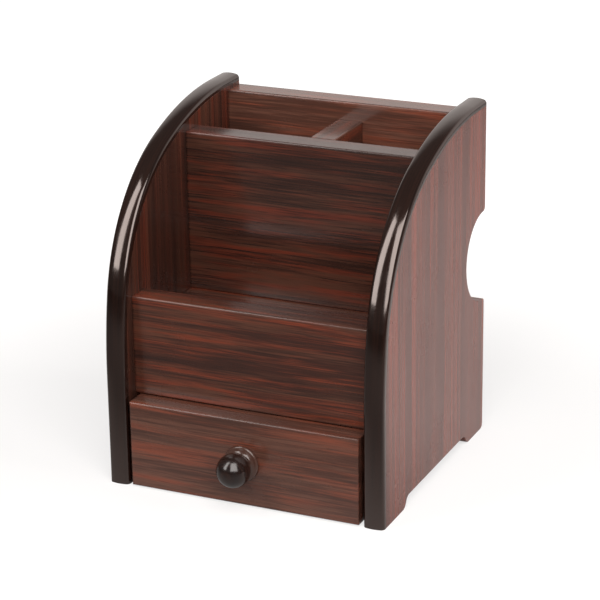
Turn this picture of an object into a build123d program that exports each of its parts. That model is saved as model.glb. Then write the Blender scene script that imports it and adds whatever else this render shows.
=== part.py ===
"""Desk pen stand with a drawer, built from wood-film boards.

Two side boards with a swept front edge carry everything else. Each curved edge is capped by a
T-shaped edging whose barbed tongue is pushed into a groove in the board. Between the sides stand a
back panel, a middle divider with one partition behind it, a low front panel, a floor under the
compartments and a bottom board for the drawer. The drawer slides straight out to the front.

Millimetres, +Z up, front towards -Y. The origin is on the floor, in the middle of the whole outline.
"""

import math
import os

from build123d import *

# ---------------------------------------------------------------- driving sizes
# case
inner_width = 142.0
side_thickness = 12.0
board_thickness = 15.0
case_height = 200.0
case_depth = 153.0
edge_round = 0.8

# crest line of the side edging, from the floor up the front and back along the top
low_radius = 270.0
low_turn = 10.0
mid_radius = 100.0
mid_turn = 57.5
top_radius = 190.0
top_turn = 22.5

# edging section
head_height = 4.0
head_crown = 1.1
head_corner = 2.3
tongue_core = 1.5
tongue_width = 2.2
tongue_depth = 7.0
barb_pitch = 2.6
barb_count = 2
groove_gap = 0.1
groove_spare = 0.8

# feet and rear grip notch of the side boards
foot_relief = 6.2
front_foot_length = 31.0
rear_foot_length = 26.0
relief_slope = 60.0
relief_round = 5.0
rear_foot_round = 3.0
grip_height = 108.0
grip_radius = 26.5
grip_mouth = 2.9
grip_round_share = 0.9

# cross boards
back_drop = 6.0
divider_height = 183.5
divider_setback = 70.0
floor_height = 90.0
partition_offset = 6.3
front_panel_height = 108.5
front_panel_setback = 12.5
front_panel_bottom = 51.5
bottom_thickness = 9.0

# drawer
drawer_front_gap = 0.7
drawer_side_gap = 2.4
drawer_floor_gap = 0.8
drawer_front_thickness = 15.0
drawer_board = 9.0
drawer_side_height = 31.0
drawer_length = 115.0
drawer_glide_gap = 0.3
drawer_bottom_thickness = 3.0
drawer_bottom_rise = 2.5
drawer_groove_depth = 4.5
kicker_width = 9.0
kicker_height = 12.0
kicker_gap = 0.6

# knob and its screw
knob_ball = 19.0
knob_reach = 20.6
knob_collar = 20.6
knob_collar_rim = 2.2
knob_neck = 12.4
knob_neck_depth = 3.6
knob_neck_angle = 47.0
knob_bore_depth = 12.0
screw_diameter = 4.0
screw_head = 8.0
screw_head_height = 2.4
screw_head_chamfer = 1.1
screw_clearance = 0.25
screw_recess_width = 1.0
screw_recess_length = 4.6
screw_recess_depth = 1.4
thread_gap = 0.05

# loose tongues in milled slots, and brads
tongue_thickness = 4.0
tongue_span = 18.0
tongue_in_side = 7.0
tongue_in_board = 12.0
tongue_gap = 0.1
tongue_spare = 0.6
tongue_margin = 22.0
panel_tongue_margin = 14.0
drawer_tongue_thickness = 3.0
drawer_tongue_span = 14.0
brad_diameter = 1.4
brad_length = 24.0
brad_gap = 0.05
brad_margin = 6.0

# ---------------------------------------------------------------- places worked out from them
half_inner = inner_width / 2
half_outer = half_inner + side_thickness
total_depth = case_depth + knob_reach
rear_y = total_depth / 2
front_y = rear_y - case_depth

low_rise = low_radius * math.cos(math.radians(90 - low_turn))
mid_rise = mid_radius * (
    math.cos(math.radians(top_turn)) - math.cos(math.radians(90 - low_turn))
)
top_rise = top_radius * (1 - math.cos(math.radians(top_turn)))
front_straight = case_height - low_rise - mid_rise - top_rise
crest_arcs = (
    (low_radius, low_turn),
    (mid_radius, mid_turn),
    (top_radius, top_turn),
)

back_height = case_height - back_drop
back_front_y = rear_y - board_thickness
divider_front_y = rear_y - divider_setback
divider_rear_y = divider_front_y + board_thickness
front_panel_y = front_y + front_panel_setback
front_panel_rear_y = front_panel_y + board_thickness
floor_underside = floor_height - board_thickness
bottom_top = foot_relief + bottom_thickness

drawer_rear_of_front_y = front_y + drawer_front_thickness
bottom_front_y = drawer_rear_of_front_y + drawer_glide_gap
drawer_width = inner_width - 2 * drawer_side_gap
drawer_front_top = front_panel_bottom - drawer_front_gap
drawer_underside = bottom_top + drawer_glide_gap
drawer_side_top = drawer_underside + drawer_side_height
drawer_end_y = drawer_rear_of_front_y + drawer_length
drawer_inner_width = drawer_width - 2 * drawer_board
drawer_bottom_z = drawer_underside + drawer_bottom_rise
drawer_groove_height = drawer_bottom_thickness + 2 * groove_gap
knob_z = (drawer_floor_gap + drawer_front_top) / 2
kicker_underside = drawer_side_top + kicker_gap

screw_radius = screw_diameter / 2
brad_radius = brad_diameter / 2
brad_hole_radius = brad_radius + brad_gap

# loose tongues at each end of the cross boards, as (y, z) middles
back_y = rear_y - board_thickness / 2
divider_y = divider_front_y + board_thickness / 2
front_panel_mid_y = front_panel_y + board_thickness / 2
floor_z = floor_height - board_thickness / 2
bottom_z = foot_relief + bottom_thickness / 2
back_tongues = [
    (back_y, foot_relief + tongue_margin),
    (back_y, back_height - tongue_margin),
]
divider_tongues = [
    (divider_y, floor_height + tongue_margin),
    (divider_y, divider_height - tongue_margin),
]
front_panel_tongues = [
    (front_panel_mid_y, front_panel_bottom + panel_tongue_margin),
    (front_panel_mid_y, front_panel_height - panel_tongue_margin),
]
floor_tongues = [
    (front_panel_rear_y + tongue_margin, floor_z),
    (back_front_y - tongue_margin, floor_z),
]
bottom_tongues = [
    (bottom_front_y + tongue_margin, bottom_z),
    (back_front_y - tongue_margin, bottom_z),
]
upright_tongues = back_tongues + divider_tongues + front_panel_tongues
level_tongues = floor_tongues + bottom_tongues
tongue_length = tongue_in_side + tongue_in_board
slot_thickness = tongue_thickness + 2 * tongue_gap
slot_span = tongue_span + 2 * tongue_gap
side_slot_depth = tongue_in_side + tongue_spare
board_slot_depth = tongue_in_board + tongue_spare

partition_tongue_heights = [
    floor_height + tongue_margin,
    divider_height - tongue_margin,
]
partition_length = back_front_y - divider_rear_y
drawer_tongue_z = (drawer_bottom_z + drawer_groove_height + drawer_side_top) / 2
drawer_slot_thickness = drawer_tongue_thickness + 2 * tongue_gap
drawer_slot_span = drawer_tongue_span + 2 * tongue_gap
brad_heights = [
    drawer_bottom_z + drawer_groove_height + brad_margin,
    drawer_side_top - brad_margin,
]

os.makedirs("parts", exist_ok=True)


# ---------------------------------------------------------------- shared drawing helpers
def crest_curve(inset):
    """Lines parallel to the crest of the edging, inset from it: riser, three arcs and top run."""
    end = Line((front_y + inset, 0), (front_y + inset, front_straight))
    heading = 90
    for radius, turn in crest_arcs:
        direction = (math.cos(math.radians(heading)), math.sin(math.radians(heading)))
        end = JernArc(end @ 1, direction, radius - inset, -turn)
        heading -= turn
    return Line(end @ 1, (rear_y, case_height - inset))


def side_outline():
    """The side board seen from the side, with its feet and the grip notch in its rear edge."""
    slope_run = foot_relief / math.tan(math.radians(relief_slope))
    relief_front = front_y + front_foot_length
    relief_rear = rear_y - rear_foot_length
    with BuildLine() as outline:
        run = crest_curve(head_height)
        Line(run @ 1, (rear_y, 0))
        FilletPolyline(
            (rear_y, 0),
            (relief_rear, 0),
            (relief_rear - slope_run, foot_relief),
            (relief_front + slope_run, foot_relief),
            (relief_front, 0),
            (front_y + head_height, 0),
            radius=relief_round,
        )
    make_face(outline.edges())
    rear_corner = vertices().sort_by_distance((rear_y, 0))[0]
    fillet(rear_corner, rear_foot_round)
    grip_centre = rear_y - grip_mouth
    grip_low = grip_height - grip_radius
    grip_high = grip_height + grip_radius
    with BuildLine() as grip:
        Line((rear_y, grip_low), (grip_centre, grip_low))
        ThreePointArc(
            (grip_centre, grip_low),
            (grip_centre - grip_radius, grip_height),
            (grip_centre, grip_high),
        )
        Line((grip_centre, grip_high), (rear_y, grip_high))
        Line((rear_y, grip_high), (rear_y, grip_low))
    make_face(grip.edges(), mode=Mode.SUBTRACT)
    lower_lip = vertices().sort_by_distance((rear_y, grip_low))[0]
    upper_lip = vertices().sort_by_distance((rear_y, grip_high))[0]
    fillet([lower_lip, upper_lip], grip_round_share * grip_mouth)


def groove_band():
    """The band of a side board that its edging groove takes, as deep as the tongue and a spare."""
    outer_inset = head_height / 2
    inner_inset = head_height + tongue_depth + groove_spare
    with BuildLine() as band:
        outer = crest_curve(outer_inset)
        inner = crest_curve(inner_inset)
        Line(outer @ 1, inner @ 1)
        Line((front_y + outer_inset, 0), (front_y + inner_inset, 0))
    make_face(band.edges())


def edging_section():
    """The edging cut across: a crowned head over the board's edge and a barbed tongue behind it."""
    half_head = side_thickness / 2
    half_core = tongue_core / 2
    head_side = head_crown - head_height
    half = [(half_head, head_side), (half_head, 0), (half_core, 0)]
    for index in range(barb_count):
        barb_start = tongue_depth - (barb_count - index) * barb_pitch
        half += [(half_core, barb_start), (tongue_width / 2, barb_start)]
    half.append((half_core, tongue_depth))
    other_half = [(-x, y) for x, y in reversed(half)]
    with BuildLine() as section:
        Polyline(*half, *other_half)
        ThreePointArc((-half_head, head_side), (0, -head_height), (half_head, head_side))
    make_face(section.edges())
    fillet(vertices().group_by(Axis.Y)[0], head_corner)


def board_block(x_centre, width, y_low, y_high, z_low, z_high):
    """A board in the active part, drawn on its lower face and extruded up."""
    with BuildSketch(Plane.XY.offset(z_low)) as board:
        with Locations((x_centre, (y_low + y_high) / 2)):
            Rectangle(width, y_high - y_low)
    extrude(board.sketch, amount=z_high - z_low)


def drill(plane, spots, radius, depth):
    """Round holes in the active part, into the face the plane lies on."""
    with BuildSketch(plane) as rings:
        with Locations(*spots):
            Circle(radius)
    extrude(rings.sketch, amount=-depth, mode=Mode.SUBTRACT)


def mill_slots(plane, spots, width, height, depth):
    """Square-ended slots in the active part, into the face the plane lies on."""
    with BuildSketch(plane) as slots:
        with Locations(*spots):
            Rectangle(width, height)
    extrude(slots.sketch, amount=-depth, mode=Mode.SUBTRACT)


def mill_board_ends(spots, width, height):
    """Tongue slots in both ends of a cross board that spans the inner width."""
    for side in (-1, 1):
        end_face = Plane(
            origin=(side * half_inner, 0, 0), x_dir=(0, 1, 0), z_dir=(side, 0, 0)
        )
        turned = [(y, side * z) for y, z in spots]
        mill_slots(end_face, turned, width, height, board_slot_depth)


def tongue_blocks(plane, spots, width, height, length):
    """Loose tongues in the active part, standing on the plane."""
    with BuildSketch(plane) as blocks:
        with Locations(*spots):
            Rectangle(width, height)
    extrude(blocks.sketch, amount=length)


def save(builder, name):
    """Names a finished piece and writes it."""
    builder.part.label = name
    export_step(builder.part, f"parts/{name}.step")


# ---------------------------------------------------------------- side boards
for side_name, side in (("left", -1), ("right", 1)):
    side_low_x = half_inner if side > 0 else -half_outer
    side_mid_x = side * (half_inner + side_thickness / 2)
    inner_face = Plane(
        origin=(side * half_inner, 0, 0), x_dir=(0, 1, 0), z_dir=(-side, 0, 0)
    )

    with BuildPart() as side_panel:
        with BuildSketch(Plane.YZ.offset(side_low_x)):
            side_outline()
        extrude(amount=side_thickness)
        # edging groove, in the middle of the curved edge
        groove_width = tongue_width + 2 * groove_gap
        with BuildSketch(Plane.YZ.offset(side_mid_x - groove_width / 2)):
            groove_band()
        extrude(amount=groove_width, mode=Mode.SUBTRACT)
        # blind tongue slots in the inner face
        upright = [(y, -side * z) for y, z in upright_tongues]
        level = [(y, -side * z) for y, z in level_tongues]
        mill_slots(inner_face, upright, slot_thickness, slot_span, side_slot_depth)
        mill_slots(inner_face, level, slot_span, slot_thickness, side_slot_depth)
    save(side_panel, f"{side_name}_side_panel")

    with BuildPart() as edging:
        with BuildLine(Plane.YZ.offset(side_mid_x)):
            crest_curve(head_height)
        with BuildSketch(Plane(origin=(side_mid_x, front_y + head_height, 0), x_dir=(1, 0, 0))):
            edging_section()
        sweep()
    save(edging, f"{side_name}_edge_moulding")

    slot_floor = inner_face.offset(-tongue_in_side)
    with BuildPart() as tongues:
        tongue_blocks(slot_floor, upright, tongue_thickness, tongue_span, tongue_length)
        tongue_blocks(slot_floor, level, tongue_span, tongue_thickness, tongue_length)
    save(tongues, f"{side_name}_side_tongues")

# ---------------------------------------------------------------- cross boards
with BuildPart() as back_panel:
    board_block(0, inner_width, back_front_y, rear_y, foot_relief, back_height)
    top_edges = edges().filter_by(Axis.X).group_by(Axis.Z)[-1]
    fillet(top_edges, edge_round)
    mill_board_ends(back_tongues, slot_thickness, slot_span)
    partition_face = Plane(
        origin=(partition_offset, back_front_y, 0), x_dir=(1, 0, 0), z_dir=(0, -1, 0)
    )
    spots = [(0, z) for z in partition_tongue_heights]
    mill_slots(partition_face, spots, slot_thickness, slot_span, side_slot_depth)
save(back_panel, "back_panel")

with BuildPart() as middle_divider:
    board_block(
        0, inner_width, divider_front_y, divider_rear_y, floor_height, divider_height
    )
    long_edges = edges().filter_by(Axis.X)
    fillet(long_edges, edge_round)
    mill_board_ends(divider_tongues, slot_thickness, slot_span)
    partition_face = Plane(
        origin=(partition_offset, divider_rear_y, 0), x_dir=(-1, 0, 0), z_dir=(0, 1, 0)
    )
    spots = [(0, z) for z in partition_tongue_heights]
    mill_slots(partition_face, spots, slot_thickness, slot_span, side_slot_depth)
save(middle_divider, "middle_divider")

with BuildPart() as pen_partition:
    board_block(
        partition_offset, board_thickness, divider_rear_y, back_front_y,
        floor_height, divider_height,
    )
    top_edges = edges().filter_by(Axis.Y).group_by(Axis.Z)[-1]
    fillet(top_edges, edge_round)
    for end_y, facing in ((divider_rear_y, -1), (back_front_y, 1)):
        end_face = Plane(
            origin=(partition_offset, end_y, 0), x_dir=(-facing, 0, 0), z_dir=(0, facing, 0)
        )
        spots = [(0, z) for z in partition_tongue_heights]
        mill_slots(end_face, spots, slot_thickness, slot_span, board_slot_depth)
save(pen_partition, "pen_partition")

with BuildPart() as partition_tongues:
    spots = [(0, z) for z in partition_tongue_heights]
    for end_y, facing in ((divider_rear_y, 1), (back_front_y, -1)):
        slot_floor = Plane(
            origin=(partition_offset, end_y - facing * tongue_in_side, 0),
            x_dir=(-facing, 0, 0), z_dir=(0, facing, 0),
        )
        tongue_blocks(slot_floor, spots, tongue_thickness, tongue_span, tongue_length)
save(partition_tongues, "partition_tongues")

with BuildPart() as front_panel:
    board_block(
        0, inner_width, front_panel_y, front_panel_rear_y,
        front_panel_bottom, front_panel_height,
    )
    long_edges = edges().filter_by(Axis.X)
    fillet(long_edges, edge_round)
    mill_board_ends(front_panel_tongues, slot_thickness, slot_span)
save(front_panel, "front_panel")

with BuildPart() as compartment_floor:
    board_block(
        0, inner_width, front_panel_rear_y, back_front_y, floor_underside, floor_height
    )
    mill_board_ends(floor_tongues, slot_span, slot_thickness)
save(compartment_floor, "compartment_floor")

with BuildPart() as bottom_board:
    board_block(0, inner_width, bottom_front_y, back_front_y, foot_relief, bottom_top)
    mill_board_ends(bottom_tongues, slot_span, slot_thickness)
save(bottom_board, "bottom_board")

for side_name, side in (("left", -1), ("right", 1)):
    with BuildPart() as kicker:
        board_block(
            side * (half_inner - kicker_width / 2), kicker_width,
            front_panel_rear_y, back_front_y,
            kicker_underside, kicker_underside + kicker_height,
        )
        free_edge = edges().filter_by(Axis.Y).sort_by_distance((0, 0, 0))[0]
        chamfer(free_edge, 2 * edge_round)
    save(kicker, f"{side_name}_drawer_kicker")

# ---------------------------------------------------------------- drawer
groove_low = drawer_bottom_z - groove_gap
groove_high = groove_low + drawer_groove_height
drawer_front_half = drawer_width / 2

with BuildPart() as drawer_front:
    board_block(
        0, drawer_width, front_y, drawer_rear_of_front_y,
        drawer_floor_gap, drawer_front_top,
    )
    face_edges = faces().sort_by(Axis.Y)[0].edges()
    fillet(face_edges, edge_round)
    # groove for the drawer bottom, stopped short of both ends
    with BuildSketch(Plane.XY.offset(groove_low)):
        with Locations((0, drawer_rear_of_front_y - drawer_groove_depth / 2)):
            Rectangle(drawer_inner_width + 2 * drawer_groove_depth, drawer_groove_depth)
    extrude(amount=drawer_groove_height, mode=Mode.SUBTRACT)
    # tongue slots for the drawer sides
    rear_face = Plane(
        origin=(0, drawer_rear_of_front_y, 0), x_dir=(-1, 0, 0), z_dir=(0, 1, 0)
    )
    side_middle = drawer_front_half - drawer_board / 2
    tongue_spots = [(-side_middle, drawer_tongue_z), (side_middle, drawer_tongue_z)]
    mill_slots(
        rear_face, tongue_spots, drawer_slot_thickness, drawer_slot_span, side_slot_depth
    )
    # screw hole for the knob
    drill(rear_face, [(0, knob_z)], screw_radius + screw_clearance, drawer_front_thickness)
save(drawer_front, "drawer_front")

for side_name, side in (("left", -1), ("right", 1)):
    outer_x = side * drawer_front_half
    middle_x = side * side_middle
    inner_x = side * (drawer_front_half - drawer_board)
    with BuildPart() as drawer_side:
        board_block(
            middle_x, drawer_board, drawer_rear_of_front_y, drawer_end_y,
            drawer_underside, drawer_side_top,
        )
        top_edges = edges().filter_by(Axis.Y).group_by(Axis.Z)[-1]
        fillet(top_edges, edge_round)
        # groove for the drawer bottom along the inner face
        with BuildSketch(Plane.XY.offset(groove_low)):
            with Locations(
                (
                    inner_x + side * drawer_groove_depth / 2,
                    (drawer_rear_of_front_y + drawer_end_y) / 2,
                )
            ):
                Rectangle(drawer_groove_depth, drawer_length)
        extrude(amount=drawer_groove_height, mode=Mode.SUBTRACT)
        front_end = Plane(
            origin=(middle_x, drawer_rear_of_front_y, 0), x_dir=(1, 0, 0), z_dir=(0, -1, 0)
        )
        mill_slots(
            front_end, [(0, drawer_tongue_z)],
            drawer_slot_thickness, drawer_slot_span, board_slot_depth,
        )
        # brad holes towards the drawer back
        outer_face = Plane(
            origin=(outer_x, drawer_end_y - drawer_board / 2, 0),
            x_dir=(0, side, 0), z_dir=(side, 0, 0),
        )
        spots = [(0, z) for z in brad_heights]
        drill(outer_face, spots, brad_hole_radius, drawer_board)
    save(drawer_side, f"drawer_{side_name}_side")

with BuildPart() as drawer_back:
    back_low_y = drawer_end_y - drawer_board
    board_block(
        0, drawer_inner_width, back_low_y, drawer_end_y,
        drawer_underside, drawer_side_top,
    )
    top_edges = edges().filter_by(Axis.X).group_by(Axis.Z)[-1]
    fillet(top_edges, edge_round)
    with BuildSketch(Plane.XY.offset(groove_low)):
        with Locations((0, back_low_y + drawer_groove_depth / 2)):
            Rectangle(drawer_inner_width, drawer_groove_depth)
    extrude(amount=drawer_groove_height, mode=Mode.SUBTRACT)
    for side in (-1, 1):
        end_face = Plane(
            origin=(side * drawer_inner_width / 2, drawer_end_y - drawer_board / 2, 0),
            x_dir=(0, side, 0), z_dir=(side, 0, 0),
        )
        spots = [(0, z) for z in brad_heights]
        drill(end_face, spots, brad_hole_radius, brad_length - drawer_board + tongue_spare)
save(drawer_back, "drawer_back")

with BuildPart() as drawer_bottom:
    bottom_reach = drawer_groove_depth - groove_gap
    board_block(
        0, drawer_inner_width + 2 * bottom_reach,
        drawer_rear_of_front_y - bottom_reach,
        drawer_end_y - drawer_board + bottom_reach,
        drawer_bottom_z, drawer_bottom_z + drawer_bottom_thickness,
    )
save(drawer_bottom, "drawer_bottom")

with BuildPart() as drawer_front_tongues:
    tongue_blocks(
        rear_face.offset(-tongue_in_side), tongue_spots,
        drawer_tongue_thickness, drawer_tongue_span, tongue_length,
    )
save(drawer_front_tongues, "drawer_front_tongues")

with BuildPart() as drawer_back_brads:
    for side in (-1, 1):
        for row_z in brad_heights:
            brad_axis = Plane(
                origin=(side * drawer_front_half, drawer_end_y - drawer_board / 2, row_z),
                z_dir=(-side, 0, 0),
            )
            with BuildSketch(brad_axis):
                Circle(brad_radius)
            extrude(amount=brad_length)
save(drawer_back_brads, "drawer_back_brads")

# ---------------------------------------------------------------- knob and screw
# turned profile as (radius, distance in front of the drawer face)
with BuildPart() as drawer_knob:
    ball_radius = knob_ball / 2
    ball_centre = knob_reach - ball_radius
    neck_radius = knob_neck / 2
    collar_radius = knob_collar / 2
    ball_meets_neck = ball_radius * math.sin(math.radians(knob_neck_angle))
    neck_meets_ball = ball_centre - ball_radius * math.cos(math.radians(knob_neck_angle))
    turning = Plane(origin=(0, front_y, knob_z), x_dir=(1, 0, 0), z_dir=(0, 0, 1))
    with BuildSketch(turning):
        with BuildLine():
            foot_and_cove = Polyline(
                (0, 0),
                (collar_radius - edge_round, 0),
                (collar_radius, -edge_round),
                (collar_radius, edge_round - knob_collar_rim),
                (collar_radius - edge_round, -knob_collar_rim),
                (neck_radius, -knob_neck_depth),
                (ball_meets_neck, -neck_meets_ball),
            )
            ThreePointArc(
                foot_and_cove @ 1, (ball_radius, -ball_centre), (0, -knob_reach)
            )
            Line((0, -knob_reach), (0, 0))
        make_face()
    revolve(axis=Axis((0, front_y, knob_z), (0, 1, 0)))
    knob_foot = Plane(origin=(0, front_y, knob_z), x_dir=(-1, 0, 0), z_dir=(0, 1, 0))
    with BuildSketch(knob_foot):
        Circle(screw_radius + thread_gap)
    extrude(amount=-knob_bore_depth, mode=Mode.SUBTRACT)
save(drawer_knob, "drawer_knob")

with BuildPart() as knob_screw:
    screw_axis = Plane(
        origin=(0, drawer_rear_of_front_y, knob_z), x_dir=(-1, 0, 0), z_dir=(0, 1, 0)
    )
    screw_reach = drawer_front_thickness + knob_bore_depth - 2 * tongue_spare
    with BuildSketch(screw_axis):
        Circle(screw_radius)
    extrude(amount=-screw_reach)
    with BuildSketch(screw_axis):
        Circle(screw_head / 2)
    extrude(amount=screw_head_height)
    crown_edge = faces().sort_by(Axis.Y)[-1].edges()
    chamfer(crown_edge, screw_head_chamfer)
    with BuildSketch(screw_axis.offset(screw_head_height)):
        Rectangle(screw_recess_length, screw_recess_width)
        Rectangle(screw_recess_width, screw_recess_length)
    extrude(amount=-screw_recess_depth, mode=Mode.SUBTRACT)
save(knob_screw, "knob_screw")

print(
    "outline",
    round(2 * half_outer, 1), "wide",
    round(total_depth, 1), "deep",
    round(case_height, 1), "high",
)
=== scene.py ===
# %% [markdown]
# # A desk pen stand with a drawer
# The stand is made of film-covered boards between two swept side boards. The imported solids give
# every board its true size, so this lesson keeps them, dresses them in procedural finishes, and
# rebuilds only what must look smooth in gloss: the two curved edgings and the turned knob.

# %% Load the solids
import math

import bpy
import numpy as np
from mathutils import Matrix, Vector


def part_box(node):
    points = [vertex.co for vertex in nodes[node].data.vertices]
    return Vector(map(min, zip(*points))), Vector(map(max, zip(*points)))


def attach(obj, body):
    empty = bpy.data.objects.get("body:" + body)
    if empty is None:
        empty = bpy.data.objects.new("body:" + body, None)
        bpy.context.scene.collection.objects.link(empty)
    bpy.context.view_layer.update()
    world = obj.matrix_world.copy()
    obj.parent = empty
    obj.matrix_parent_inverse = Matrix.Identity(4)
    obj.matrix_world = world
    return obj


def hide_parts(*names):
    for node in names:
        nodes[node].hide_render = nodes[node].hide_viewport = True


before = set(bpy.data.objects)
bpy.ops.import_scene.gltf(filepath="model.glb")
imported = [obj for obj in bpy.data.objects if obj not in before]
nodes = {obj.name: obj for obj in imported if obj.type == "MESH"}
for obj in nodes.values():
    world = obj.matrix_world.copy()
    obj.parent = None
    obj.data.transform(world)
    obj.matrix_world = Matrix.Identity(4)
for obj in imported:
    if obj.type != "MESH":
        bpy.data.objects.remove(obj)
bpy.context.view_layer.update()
print("pieces in the frame:", len(nodes))

# %% [markdown]
# ## From a grid of points to a mesh
# Each new surface is a function of two parameters, worked out as one array with a row for each
# step along the piece. One helper joins neighbouring rows with quads and closes both ends.


# %% Grid helper
def surface(name, rows, uv=None, smooth_angle=38):
    """Closed skin over rows of points: row i joins row i + 1, the last point of a row joins its
    first, and one many-sided face closes each end. rows has the shape (steps, around, 3)."""
    steps, around, _ = rows.shape
    index = np.arange(steps * around).reshape(steps, around)
    here, ahead = index[:-1], index[1:]
    quads = np.stack(
        [here, np.roll(here, -1, 1), np.roll(ahead, -1, 1), ahead], axis=-1
    ).reshape(-1, 4)
    faces = quads.tolist() + [index[0][::-1].tolist(), index[-1].tolist()]
    mesh = bpy.data.meshes.new(name)
    mesh.from_pydata(rows.reshape(-1, 3).tolist(), [], faces)
    mesh.polygons.foreach_set("use_smooth", np.ones(len(faces), bool))
    mesh.set_sharp_from_angle(angle=math.radians(smooth_angle))
    if uv is not None:
        layer = mesh.uv_layers.new(name="along_and_round")
        corner = np.empty(len(mesh.loops), np.int32)
        mesh.loops.foreach_get("vertex_index", corner)
        layer.data.foreach_set("uv", uv.reshape(-1, 2)[corner].ravel().astype(np.float32))
    mesh.update()
    piece = bpy.data.objects.new(name, mesh)
    bpy.context.scene.collection.objects.link(piece)
    print(name, "faces", len(faces))
    return piece


# %% [markdown]
# ## The line that the edging follows
# Seen from the side, the edging climbs straight from the floor, then leans back through three arcs
# of different radius and runs level to the rear. Walking the line by its length gives every arc
# the number of points it needs: the heading turns by arc length over radius.

# %% Edging line
MM = 0.001
front_low, front_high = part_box("left_side_panel")
seam_front = front_low.y
seam_top = front_high.z
rear = front_high.y
head_height = 4.0 * MM
crest_arcs = [(270.0 * MM, 10.0), (100.0 * MM, 57.5), (190.0 * MM, 22.5)]
arcs = [(radius - head_height, turn) for radius, turn in crest_arcs]
foot_points = 12
rear_points = 8


def seam_line(step=1.2 * MM):
    """Points and outward normals of the seam between board and edging, from the floor to the rear.
    A straight part adds points along its heading; an arc of radius r adds
    centre + r (cos a, sin a), with the heading falling by its turn in degrees."""
    heading = 90.0
    climb = 0.0
    for radius, turn in arcs:
        climb += radius * (
            math.cos(math.radians(heading - turn)) - math.cos(math.radians(heading))
        )
        heading -= turn
    straight = seam_top - climb
    climb_heights = np.linspace(0, straight, foot_points)
    spots = [np.stack([np.full(foot_points, seam_front), climb_heights], 1)]
    normals = [np.tile([-1.0, 0.0], (foot_points, 1))]
    here = np.array([seam_front, straight])
    heading = math.radians(90.0)
    for radius, turn in arcs:
        count = max(8, int(radius * math.radians(turn) / step))
        angle = heading - np.linspace(0, math.radians(turn), count + 1)[1:]
        centre = here + radius * np.array([math.sin(heading), -math.cos(heading)])
        out = np.stack([-np.sin(angle), np.cos(angle)], 1)
        spots.append(centre + radius * out)
        normals.append(out)
        here = spots[-1][-1]
        heading = angle[-1]
    run = np.linspace(here[0], rear, rear_points)[1:]
    spots.append(np.stack([run, np.full(len(run), here[1])], 1))
    normals.append(np.tile([0.0, 1.0], (len(run), 1)))
    return np.concatenate(spots), np.concatenate(normals)


line, outward = seam_line()
print("edging line", len(line), "points, ends at", (line[-1] / MM).round(2))

# %% [markdown]
# ## The two glossy edgings
# The real edging is a soft plastic strip shaped like a T. Its head is crowned and its tongue has
# barbs, so it holds when it is pushed into the groove. A profile carried along the seam line gives
# the same strip with enough rows that long reflections stay smooth.


# %% Edging profile
def edging_profile(width, crown=1.1 * MM, corner=2.3 * MM):
    """(across, out) points round the section. The crown is an arc whose height falls with the
    square of the distance across; each shoulder is a quarter turn blended into it; the tongue goes
    inwards in two barbs."""
    half = width / 2
    shoulder = np.linspace(0, 1, 9)
    side_height = head_height - crown
    turn = shoulder * math.radians(90 - 20)
    shoulder_x = half - corner + corner * np.cos(turn)
    shoulder_z = side_height - corner * 0.72 + corner * np.sin(turn) * 1.02
    across = np.linspace(shoulder_x[-1], -shoulder_x[-1], 17)[1:-1]
    fall = (across / half) ** 2
    edge_fall = (shoulder_x[-1] / half) ** 2
    lift = (head_height - shoulder_z[-1]) / edge_fall
    crest = np.stack([across, head_height - lift * fall], 1)
    right = np.stack([shoulder_x, shoulder_z], 1)
    left = np.stack([-shoulder_x[::-1], shoulder_z[::-1]], 1)
    core, barb, depth, pitch = 0.75 * MM, 1.1 * MM, 7.0 * MM, 2.6 * MM
    tongue = [(-half, 0), (-core, 0)]
    for start in (depth - 2 * pitch, depth - pitch):
        tongue += [(-core, -start), (-barb, -start)]
    tongue += [(-core, -depth)]
    other = [(-x, z) for x, z in reversed(tongue)]
    return np.concatenate([right, crest, left, np.array(tongue), np.array(other)])


profile = edging_profile(front_high.x - front_low.x)
print("edging profile", len(profile), "points")


# %% Carry the profile along the line
def sweep_edging(name, middle_x):
    """point(i, j) = seam(i) + out(i) * profile_out(j), shifted across by profile_across(j).
    The UV map holds the distance along the strip and round the profile, in metres."""
    rows = np.empty((len(line), len(profile), 3))
    rows[..., 0] = middle_x + profile[None, :, 0]
    rows[..., 1] = line[:, None, 0] + outward[:, None, 0] * profile[None, :, 1]
    rows[..., 2] = line[:, None, 1] + outward[:, None, 1] * profile[None, :, 1]
    along = np.concatenate([[0], np.cumsum(np.linalg.norm(np.diff(line, axis=0), axis=1))])
    about = np.concatenate([[0], np.cumsum(np.linalg.norm(np.diff(profile, axis=0), axis=1))])
    uv = np.stack(np.meshgrid(along, about, indexing="ij"), -1)
    return surface(name, rows, uv)


edgings = []
for side in ("left", "right"):
    low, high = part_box(f"{side}_side_panel")
    edging = sweep_edging(f"{side}_edging", (low.x + high.x) / 2)
    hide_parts(f"{side}_edge_moulding")
    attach(edging, "case")
    edgings.append(edging)

# %% [markdown]
# ## The turned knob
# A knob is turned on a lathe, so its shape is one outline spun about an axis. The outline has a
# rounded collar against the drawer, a hollow neck and a ball.

# %% Knob
knob_low, knob_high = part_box("drawer_knob")
knob_middle = ((knob_low.x + knob_high.x) / 2, knob_high.y, (knob_low.z + knob_high.z) / 2)


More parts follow.
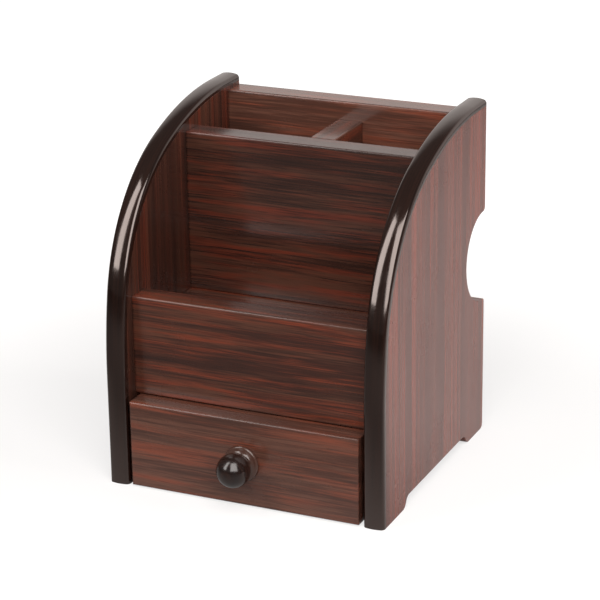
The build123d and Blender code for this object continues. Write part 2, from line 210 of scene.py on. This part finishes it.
def knob_outline():
    """(radius, distance from the drawer face). Collar rim: half circle. Cove: a cubic Hermite curve
    from the rim to the ball. Ball: circle arc up to the pole."""
    collar, rim, ball, reach = 10.3 * MM, 2.2 * MM, 9.5 * MM, 20.6 * MM
    neck_angle = 47
    bead = rim / 2
    turn = np.linspace(-90, 78, 15) * math.pi / 180
    edge = np.stack([collar - bead + bead * np.cos(turn), bead + bead * np.sin(turn)], 1)
    foot = np.array([[1e-6, 0.0], [collar * 0.5, 0.0]])
    start = edge[-1]
    meet = math.radians(neck_angle)
    end = np.array([ball * math.sin(meet), reach - ball - ball * math.cos(meet)])
    t = np.linspace(0, 1, 14)[1:-1, None]
    pull_start, pull_end = np.array([-7.0 * MM, 0.6 * MM]), np.array([2.6 * MM, 2.4 * MM])
    cove = (
        (2 * t**3 - 3 * t**2 + 1) * start
        + (t**3 - 2 * t**2 + t) * pull_start
        + (3 * t**2 - 2 * t**3) * end
        + (t**3 - t**2) * pull_end
    )
    swing = np.linspace(180 - neck_angle, 0.02, 34) * math.pi / 180
    globe = np.stack([ball * np.sin(swing), reach - ball + ball * np.cos(swing)], 1)
    return np.concatenate([foot, edge, cove, globe])


def turn_knob(name, outline, around=96):
    """point(i, j) = axis + radius(i) (cos j, sin j) across, distance(i) towards the front."""
    angle = np.linspace(0, 2 * math.pi, around, endpoint=False)
    rows = np.empty((len(outline), around, 3))
    rows[..., 0] = knob_middle[0] + outline[:, 0:1] * np.cos(angle)
    rows[..., 1] = knob_middle[1] - outline[:, 1:2]
    rows[..., 2] = knob_middle[2] + outline[:, 0:1] * np.sin(angle)
    return surface(name, rows, smooth_angle=60)


knob = turn_knob("turned_knob", knob_outline())
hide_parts("drawer_knob")
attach(knob, "drawer")

# %% [markdown]
# ## Node helpers
# Materials are built in code, so a few small helpers keep the node lines short: one adds a node and
# fills its inputs, one makes a group with named sockets, and the others do sums, soft steps and
# colour mixes.


# %% Node helpers
def add_node(tree, kind, inputs=None, **settings):
    """Adds a node; an input is a number, a colour or another node's output socket."""
    node = tree.nodes.new(kind)
    for key, value in settings.items():
        setattr(node, key, value)
    for key, value in (inputs or {}).items():
        if isinstance(value, bpy.types.NodeSocket):
            tree.links.new(value, node.inputs[key])
        else:
            node.inputs[key].default_value = value
    return node


def new_group(name, inputs, outputs):
    """A shader group with typed, named sockets: (name, kind, default)."""
    tree = bpy.data.node_groups.new(name, "ShaderNodeTree")
    for label, kind, default in inputs:
        socket = tree.interface.new_socket(name=label, in_out="INPUT", socket_type=kind)
        if default is not None:
            socket.default_value = default
    for label, kind in outputs:
        tree.interface.new_socket(name=label, in_out="OUTPUT", socket_type=kind)
    return tree, tree.nodes.new("NodeGroupInput"), tree.nodes.new("NodeGroupOutput")


def math_node(tree, operation, a, b=0.0, c=0.0):
    return add_node(tree, "ShaderNodeMath", {0: a, 1: b, 2: c}, operation=operation).outputs[0]


def ramp(tree, value, low, high):
    """0 below low, 1 above high, smooth between."""
    return add_node(
        tree, "ShaderNodeMapRange",
        {"Value": value, "From Min": low, "From Max": high},
        interpolation_type="SMOOTHSTEP",
    ).outputs[0]


def mix_colour(tree, factor, a, b):
    return add_node(tree, "ShaderNodeMix", {0: factor, 6: a, 7: b}, data_type="RGBA").outputs[2]


# %% [markdown]
# ## The printed rosewood figure
# The boards carry a printed film: bands that drift between brown and red, near-black streaks that
# gather in places, and short pores. All follow the grain. One group makes the masks from a
# coordinate whose X runs along the grain in millimetres. A slow noise bends it first, so no streak
# is dead straight.

# %% Figure group
figure, figure_in, figure_out = new_group(
    "rosewood figure",
    [
        ("Grain Coordinate", "NodeSocketVector", None),
        ("Bend", "NodeSocketFloat", 5.0),
        ("Streak Amount", "NodeSocketFloat", 1.0),
        ("Fineness", "NodeSocketVector", (1.0, 1.0, 1.0)),
    ],
    [
        ("Tone", "NodeSocketFloat"),
        ("Streak", "NodeSocketFloat"),
        ("Pore", "NodeSocketFloat"),
        ("Redness", "NodeSocketFloat"),
        ("Height", "NodeSocketFloat"),
    ],
)


def stretched_noise(tree, coordinate, along, across, detail, roughness=0.55, seed=0.0):
    """Noise squeezed across the grain: periods of about 1/along and 1/across millimetres."""
    scaled = add_node(
        tree, "ShaderNodeVectorMath",
        {0: coordinate, 1: (along, across, across)},
        operation="MULTIPLY",
    ).outputs[0]
    moved = add_node(
        tree, "ShaderNodeVectorMath", {0: scaled, 1: (seed, seed * 0.37, 0.0)}, operation="ADD"
    ).outputs[0]
    return add_node(
        tree, "ShaderNodeTexNoise",
        {"Vector": moved, "Scale": 1.0, "Detail": detail, "Roughness": roughness},
    )


coordinate = add_node(
    figure, "ShaderNodeVectorMath",
    {0: figure_in.outputs["Grain Coordinate"], 1: figure_in.outputs["Fineness"]},
    operation="MULTIPLY",
).outputs[0]
sway = stretched_noise(figure, coordinate, 0.012, 0.03, 1.0, seed=3.1).outputs["Color"]
centred = add_node(
    figure, "ShaderNodeVectorMath", {0: sway, 1: (0.5, 0.5, 0.5)}, operation="SUBTRACT"
).outputs[0]
bend_vector = add_node(
    figure, "ShaderNodeCombineXYZ",
    {"X": 0.0, "Y": figure_in.outputs["Bend"], "Z": figure_in.outputs["Bend"]},
).outputs[0]
bent = add_node(
    figure, "ShaderNodeVectorMath", {0: centred, 1: bend_vector, 2: coordinate},
    operation="MULTIPLY_ADD",
).outputs[0]
bands = stretched_noise(figure, bent, 0.007, 0.10, 3.0, seed=1.7).outputs["Fac"]
fine_bands = stretched_noise(figure, bent, 0.016, 0.8, 3.0, seed=7.3).outputs["Fac"]
fibres = stretched_noise(figure, bent, 0.05, 2.1, 2.0, seed=4.6).outputs["Fac"]
broad_share = math_node(figure, "MULTIPLY", bands, 0.5)
fine_share = math_node(figure, "MULTIPLY", fine_bands, 0.3)
fibre_share = math_node(figure, "MULTIPLY", fibres, 0.2)
tone = math_node(figure, "ADD", math_node(figure, "ADD", broad_share, fine_share), fibre_share)
redness = stretched_noise(figure, bent, 0.014, 0.22, 2.5, 0.6, seed=12.9).outputs["Fac"]
streaks = stretched_noise(figure, bent, 0.020, 1.15, 2.5, 0.6, seed=5.9).outputs["Fac"]
gather = stretched_noise(figure, bent, 0.012, 0.07, 1.0, seed=9.4).outputs["Fac"]
level = math_node(figure, "MULTIPLY_ADD", gather, 0.45, -0.22)
streak_mask = ramp(figure, math_node(figure, "ADD", streaks, level), 0.47, 0.70)
streak_mask = math_node(figure, "MULTIPLY", streak_mask, figure_in.outputs["Streak Amount"])
pores = stretched_noise(figure, bent, 0.06, 2.6, 1.5, seed=2.2).outputs["Fac"]
pore_mask = ramp(figure, pores, 0.56, 0.74)
height = math_node(figure, "SUBTRACT", fine_bands, math_node(figure, "MULTIPLY", streak_mask, 0.3))
for label, value in (
    ("Tone", ramp(figure, tone, 0.34, 0.66)),
    ("Streak", streak_mask),
    ("Pore", pore_mask),
    ("Redness", ramp(figure, redness, 0.40, 0.66)),
    ("Height", height),
):
    figure.links.new(value, figure_out.inputs[label])

# %% [markdown]
# ## Handling marks
# Satin film is never evenly matt. A second shared group gives soft smudges, which later shift the
# roughness of film, edging and knob a little.

# %% Handling group
handling, handling_in, handling_out = new_group(
    "handling marks",
    [("Place", "NodeSocketVector", None), ("Smudge Size", "NodeSocketFloat", 30.0)],
    [("Smudge", "NodeSocketFloat")],
)
smudge = add_node(
    handling, "ShaderNodeTexNoise",
    {
        "Vector": handling_in.outputs["Place"], "Scale": handling_in.outputs["Smudge Size"],
        "Detail": 4.0, "Roughness": 0.6,
    },
).outputs["Fac"]
handling.links.new(ramp(handling, smudge, 0.35, 0.7), handling_out.inputs["Smudge"])


# %% [markdown]
# ## Film boards
# The same print runs across on the level boards and upwards on the side boards, so the material is
# made by one function, given the turn that lays X along the grain. Each board is cut from another
# place of the printed sheet. Some sheets are lit and shaded copies of one film: the darker sheet is
# painted shade on the left side board and the divider, the lighter side sheet is painted light on
# the right side board, and the drawer front and back board take a lighter sheet that is partly
# their own tone and partly painted light. Bands are mixed first, then streaks and pores darken
# them. Pores are colour only, because film fills them. A Bevel node rounds the edges in the shading
# alone, so they catch a line of light.

# %% Film material
def start_material(name):
    material = bpy.data.materials.new(name)
    material.use_nodes = True
    tree = material.node_tree
    shader = tree.nodes["Principled BSDF"]
    return material, tree, shader


def place_group(tree, group, inputs):
    node = tree.nodes.new("ShaderNodeGroup")
    node.node_tree = group
    for key, value in inputs.items():
        if isinstance(value, bpy.types.NodeSocket):
            tree.links.new(value, node.inputs[key])
        else:
            node.inputs[key].default_value = value
    return node


def film_material(
    name, turn, cut, colours, streak_amount, fineness=(1, 1, 1), edge_radius=2.0 * MM, coat=0.6
):
    """turn lays the grain along X, cut says where on the printed sheet the board was cut, in
    millimetres, colours are (dark, brown, red, streak), linear, and coat is the clear layer."""
    dark, brown, red, streak_colour = colours
    material, tree, shader = start_material(name)
    place = add_node(tree, "ShaderNodeTexCoord").outputs["Object"]
    grain = add_node(
        tree, "ShaderNodeMapping",
        {"Vector": place, "Rotation": turn, "Scale": (1000.0, 1000.0, 1000.0), "Location": cut},
    ).outputs[0]
    print_masks = place_group(
        tree, figure,
        {
            "Grain Coordinate": grain, "Bend": 2.5, "Streak Amount": streak_amount,
            "Fineness": fineness,
        },
    )
    marks = place_group(tree, handling, {"Place": place})
    upper = mix_colour(tree, print_masks.outputs["Redness"], brown, red)
    body = mix_colour(tree, ramp(tree, print_masks.outputs["Tone"], 0.12, 0.78), dark, upper)
    streaked = mix_colour(tree, print_masks.outputs["Streak"], body, streak_colour)
    pore_share = math_node(tree, "MULTIPLY", print_masks.outputs["Pore"], 0.55)
    final = mix_colour(tree, pore_share, streaked, streak_colour)
    tree.links.new(final, shader.inputs["Base Color"])
    rough = add_node(
        tree, "ShaderNodeMapRange",
        {"Value": marks.outputs["Smudge"], "To Min": 0.19, "To Max": 0.29},
    ).outputs[0]
    rough = math_node(
        tree, "ADD", rough, math_node(tree, "MULTIPLY", print_masks.outputs["Streak"], 0.03)
    )
    tree.links.new(rough, shader.inputs["Roughness"])
    rounded = add_node(tree, "ShaderNodeBevel", {"Radius": edge_radius}, samples=6).outputs[0]
    bump = add_node(
        tree, "ShaderNodeBump",
        {
            "Height": print_masks.outputs["Height"], "Strength": 0.15, "Distance": 0.00006,
            "Normal": rounded,
        },
    ).outputs[0]
    tree.links.new(bump, shader.inputs["Normal"])
    shader.inputs["Specular IOR Level"].default_value = 0.25
    shader.inputs["Coat Weight"].default_value = coat
    shader.inputs["Coat Roughness"].default_value = 0.13
    return material


crosswise = (0, 0, 0)
upright = (0, math.radians(90), 0)
lengthwise = (0, 0, math.radians(-90))
sheet = (
    (0.037, 0.0145, 0.0105, 1), (0.082, 0.032, 0.020, 1), (0.155, 0.033, 0.016, 1),
    (0.020, 0.0105, 0.0085, 1),
)
# A darker copy of the film: painted shade for the left side board's inner face and the recessed
# divider.
painted_shade_sheet = (
    (0.027, 0.0110, 0.0080, 1), (0.060, 0.0240, 0.0155, 1), (0.105, 0.022, 0.012, 1),
    (0.015, 0.0080, 0.0065, 1),
)
# A lighter copy of the film: painted light for the lit outer face of the right side board.
painted_light_side_sheet = (
    (0.080, 0.0300, 0.0240, 1), (0.124, 0.0425, 0.0315, 1), (0.176, 0.0470, 0.0325, 1),
    (0.056, 0.0225, 0.0180, 1),
)
# A lighter sheet for the drawer front and back board: partly their own tone, partly painted light.
tone_and_painted_light_sheet = (
    (0.062, 0.026, 0.018, 1), (0.115, 0.050, 0.034, 1), (0.175, 0.048, 0.027, 1),
    (0.036, 0.018, 0.014, 1),
)
side_look = {"fineness": (0.25, 0.9, 0.9), "edge_radius": 0.5 * MM, "coat": 0.2}
boards = {
    "left_side_panel": ("film, left side", upright, (37, 0, 11), painted_shade_sheet, 0.6, side_look),
    "right_side_panel": ("film, right side", upright, (91, 0, 58), painted_light_side_sheet, 0.7, side_look),
    "back_panel": ("film, back", crosswise, (210, 0, 37), tone_and_painted_light_sheet, 0.6, {}),
    "middle_divider": ("film, divider", crosswise, (530, 0, 151), painted_shade_sheet, 0.75, {}),
    "pen_partition": ("film, partition", lengthwise, (83, 7, 0), sheet, 0.6, {}),
    "front_panel": ("film, front", crosswise, (777, 0, 401), sheet, 0.6, {}),
    "compartment_floor": ("film, floors", crosswise, (19, 43, 0), sheet, 0.6, {}),
    "drawer_front": ("film, drawer", crosswise, (1020, 0, 633), tone_and_painted_light_sheet, 0.5, {}),
}
films = {
    board: film_material(title, turn, cut, colours, streaks, **look)
    for board, (title, turn, cut, colours, streaks, look) in boards.items()
}

# %% [markdown]
# ## Gloss edging
# The strip is extruded plastic, polished by its die. It is near black with faint lines along its
# length, a clear gloss, and the slight ripple that pushing it round a curve leaves.

# %% Gloss edging material
edging_material, tree, shader = start_material("gloss edging")
strip_uv = add_node(tree, "ShaderNodeUVMap", uv_map="along_and_round").outputs[0]
drawn = add_node(
    tree, "ShaderNodeMapping", {"Vector": strip_uv, "Scale": (14.0, 1500.0, 1.0)}
).outputs[0]
die_lines = add_node(
    tree, "ShaderNodeTexNoise", {"Vector": drawn, "Scale": 1.0, "Detail": 3.0}
).outputs["Fac"]
colour = mix_colour(
    tree, ramp(tree, die_lines, 0.3, 0.75), (0.0062, 0.0030, 0.0023, 1), (0.0150, 0.0062, 0.0044, 1)
)
tree.links.new(colour, shader.inputs["Base Color"])
place = add_node(tree, "ShaderNodeTexCoord").outputs["Object"]
marks = place_group(tree, handling, {"Place": place, "Smudge Size": 60.0})
rough = add_node(
    tree, "ShaderNodeMapRange", {"Value": marks.outputs["Smudge"], "To Min": 0.10, "To Max": 0.17}
).outputs[0]
tree.links.new(rough, shader.inputs["Roughness"])
ripple = add_node(
    tree, "ShaderNodeTexNoise", {"Vector": place, "Scale": 85.0, "Detail": 1.0}
).outputs["Fac"]
bump = add_node(
    tree, "ShaderNodeBump", {"Height": ripple, "Strength": 0.3, "Distance": 0.0002}
).outputs[0]
tree.links.new(bump, shader.inputs["Normal"])
shader.inputs["Specular IOR Level"].default_value = 0.9
shader.inputs["Specular Tint"].default_value = (1.0, 0.86, 0.81, 1)
shader.inputs["Coat Weight"].default_value = 0.25
shader.inputs["Coat Roughness"].default_value = 0.05

# %% [markdown]
# ## Knob lacquer
# The knob is hardwood under near-black lacquer. Fine turning lines ring the axis: a noise that
# varies fast along the axis and hardly at all across it.

# %% Knob material
knob_material, tree, shader = start_material("knob lacquer")
place = add_node(tree, "ShaderNodeTexCoord").outputs["Object"]
rings = add_node(
    tree, "ShaderNodeMapping", {"Vector": place, "Scale": (60.0, 1600.0, 60.0)}
).outputs[0]
turning = add_node(
    tree, "ShaderNodeTexNoise", {"Vector": rings, "Scale": 1.0, "Detail": 3.0}
).outputs["Fac"]
colour = mix_colour(
    tree, ramp(tree, turning, 0.35, 0.7), (0.0075, 0.0038, 0.0032, 1), (0.019, 0.0085, 0.0062, 1)
)
from_face = add_node(tree, "ShaderNodeSeparateXYZ", {0: place}).outputs["Y"]
# The collar next to the drawer face is mixed to a lighter brown: a painted sheen for the light its
# rim catches.
collar_painted_sheen = ramp(tree, from_face, knob_middle[1] - 5.0 * MM, knob_middle[1] - 2.0 * MM)
colour = mix_colour(tree, collar_painted_sheen, colour, (0.060, 0.028, 0.020, 1))
tree.links.new(colour, shader.inputs["Base Color"])
marks = place_group(tree, handling, {"Place": place, "Smudge Size": 150.0})
rough = add_node(
    tree, "ShaderNodeMapRange", {"Value": marks.outputs["Smudge"], "To Min": 0.16, "To Max": 0.27}
).outputs[0]
tree.links.new(rough, shader.inputs["Roughness"])
bump = add_node(
    tree, "ShaderNodeBump", {"Height": turning, "Strength": 0.12, "Distance": 0.00008}
).outputs[0]
tree.links.new(bump, shader.inputs["Normal"])
shader.inputs["Coat Weight"].default_value = 0.3
shader.inputs["Coat Roughness"].default_value = 0.08


# %% [markdown]
# ## Drawer wood, ply, beech and zinc
# Inside the case the maker saves the film: the drawer box is plain sealed wood on a thin ply
# bottom. They share the figure group with quieter colours. Screw and brads are zinc plated.

# %% Plain wood materials
def plain_wood(name, turn, dark, light, roughness):
    """Pale wood from the figure group: tone mixes two colours, pores darken them a little."""
    material, tree, shader = start_material(name)
    place = add_node(tree, "ShaderNodeTexCoord").outputs["Object"]
    grain = add_node(
        tree, "ShaderNodeMapping",
        {"Vector": place, "Rotation": turn, "Scale": (1000.0, 1000.0, 1000.0)},
    ).outputs[0]
    masks = place_group(
        tree, figure, {"Grain Coordinate": grain, "Bend": 3.0, "Streak Amount": 0.35}
    )
    body = mix_colour(tree, masks.outputs["Tone"], dark, light)
    body = mix_colour(tree, math_node(tree, "MULTIPLY", masks.outputs["Streak"], 0.5), body, dark)
    shade = tuple(0.6 * c for c in dark[:3]) + (1,)
    body = mix_colour(tree, math_node(tree, "MULTIPLY", masks.outputs["Pore"], 0.5), body, shade)
    tree.links.new(body, shader.inputs["Base Color"])
    rough = add_node(
        tree, "ShaderNodeMapRange",
        {"Value": masks.outputs["Tone"], "To Min": roughness + 0.08, "To Max": roughness - 0.04},
    ).outputs[0]
    tree.links.new(rough, shader.inputs["Roughness"])
    bump = add_node(
        tree, "ShaderNodeBump",
        {"Height": masks.outputs["Height"], "Strength": 0.5, "Distance": 0.0001},
    ).outputs[0]
    tree.links.new(bump, shader.inputs["Normal"])
    return material


box_tones = (0.27, 0.135, 0.062, 1), (0.47, 0.29, 0.155, 1)
ply_tones = (0.36, 0.21, 0.11, 1), (0.58, 0.40, 0.235, 1)
beech_tones = (0.42, 0.25, 0.13, 1), (0.62, 0.44, 0.27, 1)
box_wood = plain_wood("drawer wood", lengthwise, *box_tones, 0.5)
box_wood_across = plain_wood("drawer wood, across", crosswise, *box_tones, 0.5)
ply = plain_wood("drawer ply", lengthwise, *ply_tones, 0.58)
beech = plain_wood("beech tongues", crosswise, *beech_tones, 0.6)

# %% Zinc material
zinc, tree, shader = start_material("zinc plate")
place = add_node(tree, "ShaderNodeTexCoord").outputs["Object"]
spangle = add_node(
    tree, "ShaderNodeTexNoise", {"Vector": place, "Scale": 700.0, "Detail": 3.0}
).outputs["Fac"]
colour = mix_colour(tree, spangle, (0.46, 0.47, 0.48, 1), (0.68, 0.68, 0.67, 1))
tree.links.new(colour, shader.inputs["Base Color"])
rough = add_node(
    tree, "ShaderNodeMapRange", {"Value": spangle, "To Min": 0.22, "To Max": 0.42}
).outputs[0]
tree.links.new(rough, shader.inputs["Roughness"])
shader.inputs["Metallic"].default_value = 1.0

# %% [markdown]
# ## Dressing the pieces
# Every solid takes the finish of its real piece. The grain runs across on the cross boards and the
# drawer front, up on the side boards, and front to back on the strips and the drawer sides.

# %% Assign materials
finish = {
    **films,
    "bottom_board": films["compartment_floor"],
    "left_drawer_kicker": box_wood,
    "right_drawer_kicker": box_wood,
    "drawer_left_side": box_wood,
    "drawer_right_side": box_wood,
    "drawer_back": box_wood_across,
    "drawer_bottom": ply,
    "knob_screw": zinc,
    "drawer_back_brads": zinc,
    "left_side_tongues": beech,
    "right_side_tongues": beech,
    "partition_tongues": beech,
    "drawer_front_tongues": beech,
}
for name, material in finish.items():
    nodes[name].data.materials.clear()
    nodes[name].data.materials.append(material)
for edging in edgings:
    edging.data.materials.append(edging_material)
knob.data.materials.append(knob_material)
print("dressed", len(finish) + 3, "pieces")

# %% [markdown]
# ## Floor, background and lights
# A catalogue picture: white all round, and a tall soft box on each side of the camera that draws
# the two long stripes on the edgings. A third box on the right lights the side board. It is kept
# out of reflections, where it would draw a white line down the right edging's shoulder. To the
# camera, floor and sky are white, and the floor keeps the stand's shadow. To everything else both
# are dark in front of the stand and pale behind it, as in a studio, so gloss reads as gloss.

# %% Floor
floor_mesh = bpy.data.meshes.new("floor")
far = 6.0
corners = [(-far, -far, 0), (far, -far, 0), (far, far, 0), (-far, far, 0)]
floor_mesh.from_pydata(corners, [], [(0, 1, 2, 3)])
floor = bpy.data.objects.new("floor", floor_mesh)
bpy.context.scene.collection.objects.link(floor)
floor_material, tree, shader = start_material("floor paper")
place = add_node(tree, "ShaderNodeTexCoord").outputs["Object"]
towards_back = add_node(tree, "ShaderNodeSeparateXYZ", {0: place}).outputs["Y"]
paper = mix_colour(
    tree, ramp(tree, towards_back, -0.22, 0.12), (0.10, 0.10, 0.10, 1), (0.76, 0.76, 0.76, 1)
)
camera_ray = add_node(tree, "ShaderNodeLightPath").outputs["Is Camera Ray"]
seen_paper = mix_colour(tree, camera_ray, paper, (0.30, 0.30, 0.30, 1))
tree.links.new(seen_paper, shader.inputs["Base Color"])
shader.inputs["Roughness"].default_value = 0.9
distance = add_node(tree, "ShaderNodeVectorMath", {0: place}, operation="LENGTH").outputs["Value"]
glow = math_node(tree, "MULTIPLY_ADD", ramp(tree, distance, 0.16, 0.55), 0.34, 0.64)
glow = math_node(tree, "MULTIPLY", glow, camera_ray)
shader.inputs["Emission Color"].default_value = (1, 1, 1, 1)
tree.links.new(glow, shader.inputs["Emission Strength"])
floor_mesh.materials.append(floor_material)

# %% Sky
world = bpy.data.worlds.new("studio")
bpy.context.scene.world = world
world.use_nodes = True
tree = world.node_tree
backdrop = tree.nodes["Background"]
direction = add_node(tree, "ShaderNodeTexCoord").outputs["Generated"]
parts = add_node(tree, "ShaderNodeSeparateXYZ", {0: direction})
behind = ramp(tree, parts.outputs["Y"], 0.0, 0.6)
not_above = math_node(tree, "SUBTRACT", 1.0, ramp(tree, parts.outputs["Z"], 0.45, 0.8))
backdrop_share = math_node(tree, "MULTIPLY", behind, not_above)
path = add_node(tree, "ShaderNodeLightPath")
glossy = math_node(tree, "MULTIPLY_ADD", path.outputs["Is Glossy Ray"], 0.3, 0.5)
studio = math_node(tree, "MAXIMUM", math_node(tree, "MULTIPLY", backdrop_share, glossy), 0.10)
camera_sees, glass_sees = path.outputs["Is Camera Ray"], path.outputs["Is Transmission Ray"]
seen = math_node(tree, "MAXIMUM", camera_sees, glass_sees)
tree.links.new(math_node(tree, "MAXIMUM", studio, seen), backdrop.inputs["Strength"])
tree.links.new(
    mix_colour(tree, seen, (1.0, 0.92, 0.88, 1), (1, 1, 1, 1)), backdrop.inputs["Color"]
)


# %% Lamps
def soft_box(name, low, high, width, aim, watts):
    """A rectangular lamp between the middles of its lower and upper edge, turned to face aim."""
    low, high, aim = (np.array(point, float) for point in (low, high, aim))
    lamp = bpy.data.lights.new(name, "AREA")
    lamp.shape = "RECTANGLE"
    lamp.size, lamp.size_y, lamp.energy = width, float(np.linalg.norm(high - low)), watts
    lamp.color = (1.0, 0.95, 0.92)
    box = bpy.data.objects.new(name, lamp)
    up_way = (high - low) / np.linalg.norm(high - low)
    side_way = np.cross(aim - (low + high) / 2, up_way)
    side_way /= np.linalg.norm(side_way)
    turned = np.eye(4)
    turned[:3, 0], turned[:3, 1] = side_way, up_way
    turned[:3, 2], turned[:3, 3] = np.cross(side_way, up_way), (low + high) / 2
    box.matrix_world = Matrix(turned.tolist())
    bpy.context.scene.collection.objects.link(box)
    print(name, "faces", (-turned[:3, 2]).round(2))
    return box


heart = (0, -0.05, 0.13)
soft_box("left soft box", (-0.47, -0.70, 0.30), (-0.42, -0.40, 1.36), 0.30, heart, 5.8)
soft_box("right soft box", (0.42, -0.78, 0.31), (0.22, -0.40, 1.36), 0.72, heart, 14.0)
fill = soft_box("side soft box", (1.10, 0.10, 0.15), (1.00, 0.10, 0.90), 0.60, heart, 11.0)
fill.visible_glossy = False

# %% [markdown]
# ## Camera
# The view was fitted to the straight edges of the photograph: a long lens about 1.3 metres away,
# to the right of the stand's front and looking down about twenty degrees.

# %% Camera
camera = bpy.data.cameras.new("view")
camera.sensor_width = 36.0
focal_pixels = 2349.583
picture_width = 600
camera.lens = focal_pixels / picture_width * camera.sensor_width
camera.clip_end = 50
viewer = bpy.data.objects.new("view", camera)
right_way = (0.91157, 0.41091, -0.01367)
up_way = (-0.12981, 0.31921, 0.93875)
back_way = (0.39011, -0.85396, 0.34433)
eye = (0.51618, -1.11717, 0.54904)
viewer.matrix_world = Matrix(
    [(right_way[i], up_way[i], back_way[i], eye[i]) for i in range(3)] + [(0, 0, 0, 1)]
)
bpy.context.scene.collection.objects.link(viewer)
bpy.context.scene.camera = viewer
bpy.context.scene.view_settings.view_transform = "Standard"
